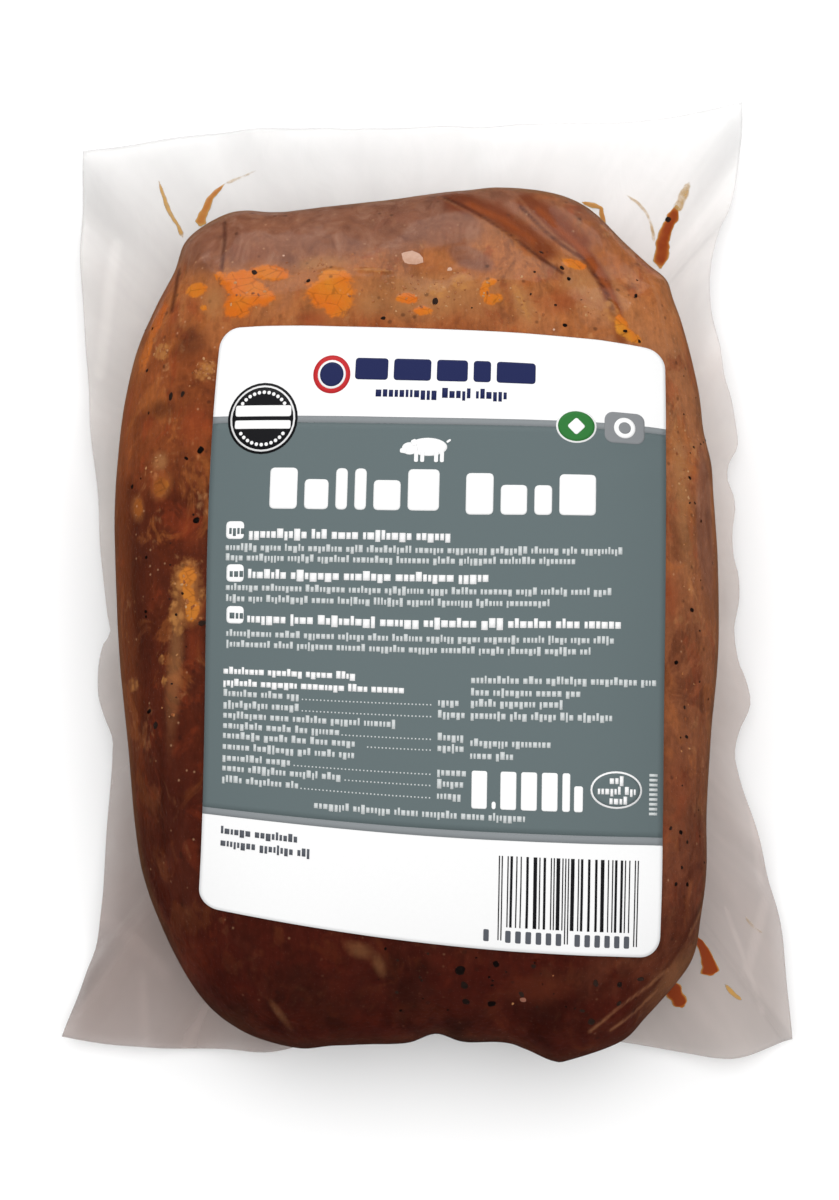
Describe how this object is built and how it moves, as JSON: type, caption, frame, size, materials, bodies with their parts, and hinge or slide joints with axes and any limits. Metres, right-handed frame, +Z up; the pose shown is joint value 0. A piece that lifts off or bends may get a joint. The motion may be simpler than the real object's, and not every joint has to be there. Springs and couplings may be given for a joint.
{
  "type": "vacuum-sealed pouch of pulled pork",
  "caption": "Clear vacuum pouch packed tight with pulled pork, lying on its back, with wavy sealed margins and a draped paper label.",
  "frame": {"origin": "under the middle of the pack's bounding box, at the height of the surface it lies on", "axes": "+Z up through the labelled face, +Y towards the head of the label along the pack's length, +X to the right of a reader of the label"},
  "size_m": [0.2106, 0.2856, 0.0718],
  "materials": {
    "meat_in_film": "dark red-brown marinated meat under tight clear film",
    "clear_film": "clear vacuum film, glossy, slightly milky where two layers are welded",
    "juice": "orange-brown marinade under film",
    "label_paper": "white coated label paper",
    "print_ink": "flat printed ink on the label"
  },
  "bodies": {
    "root": {"pouch": "meat_in_film", "label": "label_paper"}
  },
  "joints": []
}
